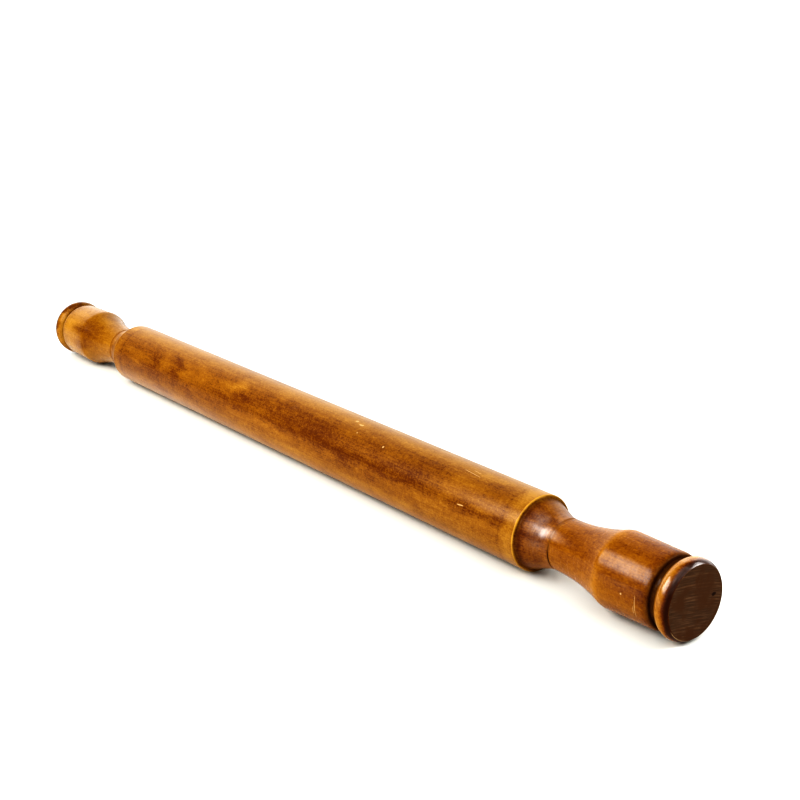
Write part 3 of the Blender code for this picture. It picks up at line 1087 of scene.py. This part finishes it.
def carry_values(build, geometry, outline, row):
    """Store on a surface the wear, grime and tone of the outline that it was turned from, painted shade
    included.
    """
    for name in (WEAR, GRIME_AND_SHADE, TONE):
        carried = build.add("GeometryNodeInputNamedAttribute", {"Name": name}, data_type="FLOAT")
        sampled = build.add("GeometryNodeSampleIndex", {
            "Geometry": outline, "Value": carried.outputs[0], "Index": row}, data_type="FLOAT")
        geometry = build.add("GeometryNodeStoreNamedAttribute", {
            "Geometry": geometry, "Name": name, "Value": sampled.outputs[0]},
            data_type="FLOAT", domain="POINT").outputs[0]
    return geometry


def turned_body_tree():
    """Geometry tree: sweeps an outline of (radius, 0, place along) points round the X axis.

    The outline's wear, grime and tone go with it; grime and tone include painted shade. Dents and wander only
    ever take the surface inwards, so the body stays inside its outline.
    """
    build, given, result = new_group(
        "Turned body", "GeometryNodeTree",
        [("Outline", "NodeSocketGeometry", None), ("Facets", "NodeSocketInt", 96),
         ("Wander", "NodeSocketFloat", 0.00004), ("Dent Depth", "NodeSocketFloat", 0.00010),
         ("Dent Rate", "NodeSocketFloat", 55.0), ("Seed", "NodeSocketFloat", 0.0),
         ("Finish", "NodeSocketMaterial", None)],
        [("Body", "NodeSocketGeometry")])
    rows = build.add("GeometryNodeAttributeDomainSize", {"Geometry": given["Outline"]}, component="MESH")
    row_count = rows.outputs["Point Count"]
    columns = build.math("ADD", given["Facets"], 1.0)
    grid = build.add("GeometryNodeMeshGrid", {"Vertices X": columns, "Vertices Y": row_count})
    index = build.add("GeometryNodeInputIndex").outputs[0]
    row = build.math("MODULO", index, row_count)
    column = build.math("FLOOR", build.math("DIVIDE", build.math("ADD", index, 0.5), row_count))
    place = build.add("GeometryNodeInputPosition").outputs[0]
    outline = build.add("GeometryNodeSampleIndex", {
        "Geometry": given["Outline"], "Value": place, "Index": row}, data_type="FLOAT_VECTOR")
    radius, _, along = build.separate(outline.outputs[0])
    angle = build.math("MULTIPLY", build.math("DIVIDE", column, given["Facets"]), math.tau)
    cosine, sine = build.math("COSINE", angle), build.math("SINE", angle)

    spot = build.combine(build.math("ADD", along, given["Seed"]),
                         build.math("MULTIPLY", radius, cosine), build.math("MULTIPLY", radius, sine))
    kept = true_radius(build, given, radius, spot)
    swept = build.combine(along, build.math("MULTIPLY", kept, cosine), build.math("MULTIPLY", kept, sine))
    body = build.add("GeometryNodeSetPosition", {"Geometry": grid.outputs["Mesh"], "Position": swept})
    body = carry_values(build, body.outputs[0], given["Outline"], row)
    merged = build.add("GeometryNodeMergeByDistance", {"Geometry": body, "Distance": MERGE_DISTANCE})
    smooth = build.add("GeometryNodeSetShadeSmooth", {"Geometry": merged.outputs[0]})
    real = build.add("GeometryNodeRealizeInstances", {"Geometry": smooth.outputs[0]})
    dressed = build.add("GeometryNodeSetMaterial", {
        "Geometry": real.outputs[0], "Material": given["Finish"]})
    build.feed(result.inputs["Body"], dressed.outputs[0])
    return build.tree


def outline_object(name, points):
    """Make a chain of (radius, along, wear, grime, tone) points as a mesh that carries the last three; grime
    and tone include painted shade.
    """
    mesh = bpy.data.meshes.new(name)
    places = [(point[0], 0.0, point[1]) for point in points]
    mesh.from_pydata(places, [(i, i + 1) for i in range(len(points) - 1)], [])
    for label, column in ((WEAR, 2), (GRIME_AND_SHADE, 3), (TONE, 4)):
        layer = mesh.attributes.new(label, "FLOAT", "POINT")
        layer.data.foreach_set("value", [point[column] for point in points])
    outline = bpy.data.objects.new(name, mesh)
    bpy.context.scene.collection.objects.link(outline)
    return outline


def turn_piece(name, points, material, facets, seed, wander, dent_depth):
    """Turn an outline with the geometry tree and keep the result as a plain mesh."""
    tree = bpy.data.node_groups.get("Turned body") or turned_body_tree()
    outline = outline_object(name + "_outline", points)
    modifier = outline.modifiers.new("Turned body", "NODES")
    modifier.node_group = tree
    values = {"Facets": facets, "Wander": wander, "Dent Depth": dent_depth, "Seed": seed,
              "Finish": material}
    for item in tree.interface.items_tree:
        if item.item_type == "SOCKET" and item.in_out == "INPUT" and item.name in values:
            modifier[item.identifier] = values[item.name]
    outline.update_tag()
    graph = bpy.context.evaluated_depsgraph_get()
    mesh = bpy.data.meshes.new_from_object(outline.evaluated_get(graph))
    mesh.name = name
    bpy.data.objects.remove(outline, do_unlink=True)
    shell = bmesh.new()
    shell.from_mesh(mesh)
    bmesh.ops.dissolve_degenerate(shell, dist=MERGE_DISTANCE, edges=shell.edges)
    bmesh.ops.recalc_face_normals(shell, faces=shell.faces)
    shell.to_mesh(mesh)
    shell.free()
    mesh.shade_smooth()
    mesh.set_sharp_from_angle(angle=SHARP_ANGLE)
    piece = bpy.data.objects.new(name, mesh)
    bpy.context.scene.collection.objects.link(piece)
    return piece


def even_steps(first, last, count):
    """Values from a first to a last one in equal steps."""
    return [first + (last - first) * i / count for i in range(count + 1)]


def long_run(first, last):
    """Points on the straight line between two (radius, along) points, closer together at its ends."""
    length = abs(last[1] - first[1])
    lead = [step / length for step in SHORT_STEPS]
    count = max(2, round(length / LONG_STEP))
    middle = [i / count for i in range(count + 1) if lead[-1] < i / count < 1 - lead[-1]]
    shares = [0.0] + lead + middle + [1 - share for share in reversed(lead)] + [1.0]
    return [tuple(first[k] + (last[k] - first[k]) * share for k in (0, 1)) for share in shares]


def shoulder_points(sizes, length):
    """Barrel shoulder as (radius, distance inwards): a cove, its tangent cone, then the rounded edge."""
    rise = sizes.shoulder_top_radius - sizes.neck_radius
    cove = sizes.shoulder_cove_radius
    lean = math.atan2(cove - rise, length)
    sweep = math.asin(cove / math.hypot(length, cove - rise)) - lean
    arc = [(sizes.neck_radius + cove * (1 - math.cos(angle)), cove * math.sin(angle))
           for angle in even_steps(0.0, sweep, ARC_STEPS)]
    foot_radius, foot = arc[-1]
    cone = [(foot_radius + (sizes.shoulder_top_radius - foot_radius) * share, foot + (length - foot) * share)
            for share in even_steps(0.0, 1.0, ARC_STEPS)[1:-1]]
    drop = sizes.barrel_radius - sizes.shoulder_top_radius
    edge = [(sizes.shoulder_top_radius + drop * math.sin(angle),
             length + sizes.barrel_edge_round * (1 - math.cos(angle)))
            for angle in even_steps(0.0, math.pi / 2, ROUND_STEPS)]
    return arc + cone + edge


def barrel_points(sizes):
    """Closed outline of the barrel: outside from +X to -X, then back through the stepped bore."""
    end = BARREL_BOX[1][0]
    length = end - sizes.barrel_length / 2
    half = [(radius, end - inwards) for radius, inwards in shoulder_points(sizes, length)]
    start = half[-1][1]
    middle = long_run((sizes.barrel_radius, start), (sizes.barrel_radius, -start))[1:-1]
    recess = [
        (sizes.bore_radius, end - sizes.sleeve_depth),
        (sizes.sleeve_radius, end - sizes.sleeve_depth),
        (sizes.sleeve_radius, end - sizes.flange_depth),
        (sizes.flange_radius, end - sizes.flange_depth),
        (sizes.flange_radius, end),
    ]
    outside = half + middle + [(radius, -along) for radius, along in reversed(half)]
    inside = [(radius, -along) for radius, along in reversed(recess)] + recess
    return outside + inside + outside[:1]


def bead_points(sizes, end):
    """End bead of a handle as an arc from its end disc to its groove."""
    first = math.asin(sizes.bead_setback / sizes.bead_round)
    last = -math.asin((sizes.bead_length - sizes.bead_setback) / sizes.bead_round)
    centre = sizes.bead_radius - sizes.bead_round
    crest = end - sizes.bead_setback
    return [(centre + sizes.bead_round * math.cos(angle), crest + sizes.bead_round * math.sin(angle))
            for angle in even_steps(first, last, ARC_STEPS)]


def cove_points(sizes, start):
    """Cove of a handle as an arc from just short of the grip down to the neck."""
    rise = sizes.grip_radius - sizes.neck_radius
    arc = (sizes.cove_length ** 2 + rise ** 2) / (2 * rise)
    sweep = math.asin(sizes.cove_length / arc) * (1 - sizes.kink_blend / sizes.cove_length)
    angles = [sweep * (1 - share) for share in even_steps(0.0, 1.0, 2 * ARC_STEPS)]
    return [(sizes.neck_radius + arc * (1 - math.cos(angle)), start + arc * math.sin(angle))
            for angle in angles]


def soft_corner(near, corner, far):
    """Points of a curve between two points that bends towards the corner without reaching it."""
    points = []
    for t in even_steps(0.0, 1.0, ROUND_STEPS)[1:-1]:
        weights = ((1 - t) ** 2, 2 * t * (1 - t), t ** 2)
        points.append(tuple(weights[0] * near[k] + weights[1] * corner[k] + weights[2] * far[k]
                            for k in (0, 1)))
    return points


def handle_points(sizes):
    """Outline of the right handle from the middle of its end disc round to its blind bore."""
    start, end = HANDLE_BOX[0][0], HANDLE_BOX[1][0]
    bead = bead_points(sizes, end)
    disc = [(bead[0][0] * i / ROUND_STEPS, end) for i in range(ROUND_STEPS)]
    wall = end - sizes.bead_length
    far_wall = wall - sizes.groove_width
    groove = [(sizes.groove_floor_radius, wall), (sizes.groove_floor_radius, far_wall)]
    grip_end = [
        (sizes.grip_radius - sizes.grip_taper - sizes.grip_round_depth * (1 - math.sin(angle)),
         far_wall - sizes.grip_round_length * (1 - math.cos(angle)))
        for angle in even_steps(0.0, math.pi / 2, ROUND_STEPS)]
    corner = (sizes.grip_radius, start + sizes.cove_length)
    fall = sizes.grip_taper / (grip_end[-1][1] - corner[1])
    near = (sizes.grip_radius - fall * sizes.kink_blend, corner[1] + sizes.kink_blend)
    grip = long_run(grip_end[-1], near)[1:]
    cove = cove_points(sizes, start)
    inside = [
        (sizes.insert_seat_radius, start),
        (sizes.insert_seat_radius, start + sizes.insert_seat_depth),
        (0.0, start + sizes.insert_seat_depth + sizes.drill_point),
    ]
    return disc + bead + groove + grip_end + grip + soft_corner(near, corner, cove[0]) + cove + inside


def dress_points(points, wear=(), grime_and_shade=(), tone=()):
    """Give each (radius, along) point its wear, grime and tone from (along, radius, spread, amount) spots;
    grime and tone also carry painted shade.
    """
    dressed = []
    for radius, along in points:
        sums = []
        for spots in (wear, grime_and_shade, tone):
            shares = [
                amount * math.exp(-(math.hypot(radius - at_radius, abs(along) - at_along) / spread) ** 2)
                for at_along, at_radius, spread, amount in spots
            ]
            sums.append(sum(shares))
        dressed.append((radius, along, min(sums[0], 1.0), min(sums[1], 1.0), sums[2]))
    return dressed


def barrel_spots(sizes):
    """Wear, grime and tone of the barrel as (along, radius, spread, amount) spots; the grime and darker tone
    in the shoulder's corner next to the barrel's edge are painted shade.
    """
    edge = sizes.barrel_length / 2
    end = BARREL_BOX[1][0]
    top = sizes.shoulder_top_radius
    wear = [(edge - 0.0005, sizes.barrel_radius, 0.00085, 0.85)]
    # The first grime spot is painted shade in the shoulder's corner, the second dirt in the neck joint
    grime_and_shade = [(edge + 0.0012, top - 0.0004, 0.0011, 0.30),
             (end, sizes.neck_radius, 0.0004, 0.10)]
    tone = [(edge - 0.0035, sizes.barrel_radius, 0.0050, 0.30),
            (edge - 0.0108, sizes.barrel_radius, 0.0010, -0.14),
            # Painted shade: darker tone in the shoulder's corner next to the barrel's edge
            (edge + 0.0012, top, 0.0030, -0.30)]
    return wear, grime_and_shade, tone


def handle_spots(sizes):
    """Wear, grime, lighter edges and darker ends of a handle as (along, radius, spread, amount) spots; the
    grime in the groove is dirt and painted shade, and the grime and darker tone at the bead's front are
    painted shade.
    """
    start, end = HANDLE_BOX[0][0], HANDLE_BOX[1][0]
    kink = start + sizes.cove_length
    wall = end - sizes.bead_length
    disc_radius = sizes.bead_radius - sizes.bead_round * (
        1 - math.sqrt(1 - (sizes.bead_setback / sizes.bead_round) ** 2))
    crest = end - sizes.bead_setback
    wear = [(end - 0.0001, disc_radius, 0.0004, 0.60),
            (wall + 0.0006, sizes.bead_radius - 0.0012, 0.0008, 0.30)]
    # Grime: dirt and painted shade in the groove, painted shade at the bead's front, dirt in the neck joint
    grime_and_shade = [(wall - sizes.groove_width / 2, sizes.groove_floor_radius, 0.0030, 1.0),
             (end - 0.0012, disc_radius + 0.0009, 0.0012, 0.60),
             (start, sizes.neck_radius, 0.0004, 0.10)]
    glow = [(kink + 0.0002, sizes.grip_radius, 0.0028, 0.28),
            (crest - 0.0014, sizes.bead_radius, 0.0028, 0.42)]
    # The first spot is painted shade: darker tone at the bead's front next to the end disc
    shade = [(end - 0.0010, disc_radius + 0.0009, 0.0022, -0.90),
             (wall - 0.0060, sizes.grip_radius, 0.0040, -0.18)]
    return wear, grime_and_shade, glow, shade


def scaled(spots, share):
    """The same spots with a share of their amounts."""
    return [(*spot[:3], spot[3] * share) for spot in spots]


def mirror_points(points):
    """The same outline at the other end of the pin."""
    return [(point[0], -point[1], *point[2:]) for point in points]


def settle_piece(piece, nodes, body):
    """Say which solids a piece stands for and what it moves with."""
    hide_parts(*nodes)
    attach(piece, body)


class PIN_OT_barrel(Operator):
    """Turn the barrel with its shoulders and stepped bore"""

    bl_idname = "pin.barrel"
    bl_label = "Barrel"

    def execute(self, context):
        sizes, colours, _ = settings()
        tables = (BARREL_MARKS, BARREL_STAINS_LIGHT_AND_SHADE, BARREL_GLOSS, BARREL_WEAR)
        material = wood_material(
            "barrel_stain", colours, tables, seed=BARREL_SEED, pith_depth=0.115, tone_shift=0.03,
            roughness=0.26, coat_roughness=BARREL_VARNISH_ROUGHNESS)
        points = dress_points(barrel_points(sizes), *barrel_spots(sizes))
        piece = turn_piece("turned_barrel", points, material, WOOD_FACETS, BARREL_SEED,
                           wander=0.00005, dent_depth=0.00012)
        settle_piece(piece, ["barrel"], "barrel")
        return {"FINISHED"}


class PIN_OT_handles(Operator):
    """Turn both handles with their coves, grips, grooves and end beads"""

    bl_idname = "pin.handles"
    bl_label = "Handles"

    def execute(self, context):
        sizes, colours, _ = settings()
        points = handle_points(sizes)
        wear, grime_and_shade, glow, shade = handle_spots(sizes)
        tables = (GRIP_MARKS, GRIP_STAINS_AND_SHADE, GRIP_GLOSS, GRIP_WEAR)
        for (name, side), (seed, shift, dirt_and_shade, light) in zip(ENDS, HANDLE_LOOKS):
            material = wood_material(
                f"handle_stain_{name}", colours, tables, seed=seed, pith_depth=0.105, tone_shift=shift,
                roughness=0.20, coat_roughness=HANDLE_VARNISH_ROUGHNESS)
            dressed = dress_points(points, wear, scaled(grime_and_shade, dirt_and_shade), scaled(glow, light) + shade)
            outline = dressed if side > 0 else mirror_points(dressed)
            piece = turn_piece(f"turned_handle_{name}", outline, material, WOOD_FACETS, seed,
                               wander=0.00004, dent_depth=0.00006)
            settle_piece(piece, [f"handle_{name}"], "handles")
        return {"FINISHED"}


class PIN_OT_washers(Operator):
    """Make the dark fibre washers that show as a line in each neck joint"""

    bl_idname = "pin.washers"
    bl_label = "Thrust washers"

    def execute(self, context):
        sizes, colours, _ = settings()
        material = fibre_material(colours)
        low, high = WASHER_BOX
        start, end = low[0] - sizes.washer_spread, high[0] + sizes.washer_spread
        radius = sizes.neck_radius - sizes.washer_setback
        rim = (end - start) / CHAMFER_PARTS
        points = [(sizes.washer_bore_radius, start), (radius - rim, start), (radius, start + rim),
                  (radius, end - rim), (radius - rim, end), (sizes.washer_bore_radius, end),
                  (sizes.washer_bore_radius, start)]
        dressed = dress_points(points)
        for name, side in ENDS:
            outline = dressed if side > 0 else mirror_points(dressed)
            piece = turn_piece(f"fibre_washer_{name}", outline, material, WASHER_FACETS, seed=0.0,
                               wander=0.0, dent_depth=0.0)
            settle_piece(piece, [f"thrust_washer_{name}"], "handles")
        return {"FINISHED"}


class PIN_OT_running_gear(Operator):
    """Finish the hidden axle, bushes and inserts"""

    bl_idname = "pin.running_gear"
    bl_label = "Axle, bushes and inserts"

    def execute(self, context):
        _, colours, _ = settings()
        finishes = {
            "axle": turned_metal_material("turned_steel", tuple(colours.steel), seed=1.0),
            "handle_insert": turned_metal_material("turned_brass", tuple(colours.brass), seed=2.0),
            "bush": nylon_material(colours),
        }
        for node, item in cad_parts.items():
            for prefix, material in finishes.items():
                if node.startswith(prefix):
                    item.data.materials.clear()
                    item.data.materials.append(material)
        return {"FINISHED"}


def add_camera(stage):
    """Stand the camera where the photograph was taken."""
    data = bpy.data.cameras.new("camera")
    data.lens = stage.camera_lens
    data.sensor_width = SENSOR_WIDTH
    data.clip_start = NEAR_CLIP
    data.clip_end = 4 * stage.floor_radius
    data.dof.use_dof = False
    camera = bpy.data.objects.new("camera", data)
    camera.location = stage.camera_place
    camera.rotation_euler = Vector(stage.camera_aim).to_track_quat("-Z", "Y").to_euler()
    bpy.context.scene.collection.objects.link(camera)
    bpy.context.scene.camera = camera


def add_floor(stage, colours):
    """Lay a wide round floor just under the pin."""
    disc = bmesh.new()
    bmesh.ops.create_circle(disc, cap_ends=True, segments=FLOOR_FACETS, radius=stage.floor_radius)
    mesh = bpy.data.meshes.new("floor")
    disc.to_mesh(mesh)
    disc.free()
    mesh.materials.append(floor_material(colours))
    floor = bpy.data.objects.new("floor", mesh)
    floor.location.z = CAD_BOX[0][2]
    bpy.context.scene.collection.objects.link(floor)


def add_lamp(name, place, aim, width, height, power, spread=math.pi):
    """Hang a soft rectangular lamp, aimed at a place on the pin."""
    data = bpy.data.lights.new(name, "AREA")
    data.shape = "RECTANGLE"
    data.size = width
    data.size_y = height
    data.energy = power
    data.spread = spread
    lamp = bpy.data.objects.new(name, data)
    lamp.location = place
    lamp.rotation_euler = (Vector(aim) - lamp.location).to_track_quat("-Z", "Y").to_euler()
    bpy.context.scene.collection.objects.link(lamp)


def add_room(stage):
    """Light the pin from a dark room with a pale backdrop and soft light above; the eye sees a pale room."""
    world = bpy.data.worlds.new("room")
    world.use_nodes = True
    world.node_tree.nodes.clear()
    build = TreeBuilder(world.node_tree)
    direction = build.add("ShaderNodeTexCoord").outputs["Generated"]
    aim = Vector(stage.camera_aim)
    aim.z = 0.0
    patches = (
        (aim, BACKDROP_CONE, stage.backdrop),
        (Vector(CEILING_AIM), CEILING_CONE, stage.ceiling),
        (Vector(SIDE_AIM), SIDE_CONE, stage.side_fill),
    )
    level = stage.room
    for towards, (full, gone), brightness in patches:
        towards.normalize()
        inputs = {0: direction, 1: tuple(towards)}
        facing = build.add("ShaderNodeVectorMath", inputs, operation="DOT_PRODUCT").outputs["Value"]
        level = build.math("ADD", level, build.step(facing, gone, full, 0.0, brightness))
    seen = build.add("ShaderNodeLightPath").outputs["Is Camera Ray"]
    unseen = build.math("MULTIPLY", level, build.math("SUBTRACT", 1.0, seen))
    level = build.weigh(unseen, ((seen, SEEN_ROOM),))
    background = build.add("ShaderNodeBackground", {"Color": ROOM_TINT, "Strength": level})
    build.add("ShaderNodeOutputWorld", {"Surface": background.outputs[0]})
    bpy.context.scene.world = world


class PIN_OT_stage(Operator):
    """Set up the floor, the soft light and the camera"""

    bl_idname = "pin.stage"
    bl_label = "Stage"

    def execute(self, context):
        _, colours, stage = settings()
        add_camera(stage)
        add_floor(stage, colours)
        neck, end = ((HANDLE_BOX[side][0], 0.0, 0.0) for side in (0, 1))
        add_lamp("window", stage.window_place, neck, stage.window_width, stage.window_height,
                 stage.window_power)
        add_lamp("glint", stage.glint_place, end, stage.glint_size, stage.glint_size,
                 stage.glint_power, GLINT_SPREAD)
        add_room(stage)
        context.scene.view_settings.view_transform = "Standard"
        context.scene.view_settings.look = "Very High Contrast"
        return {"FINISHED"}


OPERATORS = (PIN_OT_stage, PIN_OT_barrel, PIN_OT_handles, PIN_OT_washers, PIN_OT_running_gear)


class PIN_PT_panel(Panel):
    """Sidebar panel that lists the pieces of the pin"""

    bl_idname = "PIN_PT_panel"
    bl_label = "Rolling pin"
    bl_space_type = "VIEW_3D"
    bl_region_type = "UI"
    bl_category = "Pin"

    def draw(self, context):
        for operator in OPERATORS:
            self.layout.operator(operator.bl_idname)
        for group in settings():
            box = self.layout.box()
            for name in group.bl_rna.properties.keys():
                if name not in {"rna_type", "name"}:
                    box.prop(group, name)


CLASSES = (PinSizes, PinColours, PinStage, *OPERATORS, PIN_PT_panel)


def register():
    """Register the classes and hang the settings on the scene."""
    for item in CLASSES:
        bpy.utils.register_class(item)
    bpy.types.Scene.pin_sizes = PointerProperty(type=PinSizes)
    bpy.types.Scene.pin_colours = PointerProperty(type=PinColours)
    bpy.types.Scene.pin_stage = PointerProperty(type=PinStage)


def unregister():
    """Take the settings and the classes away again."""
    for name in ("pin_sizes", "pin_colours", "pin_stage"):
        delattr(bpy.types.Scene, name)
    for item in reversed(CLASSES):
        bpy.utils.unregister_class(item)


def main():
    """Make every piece and the stage."""
    register()
    bpy.ops.pin.stage()
    bpy.ops.pin.barrel()
    bpy.ops.pin.handles()
    bpy.ops.pin.washers()
    bpy.ops.pin.running_gear()


if __name__ == "__main__":
    main()
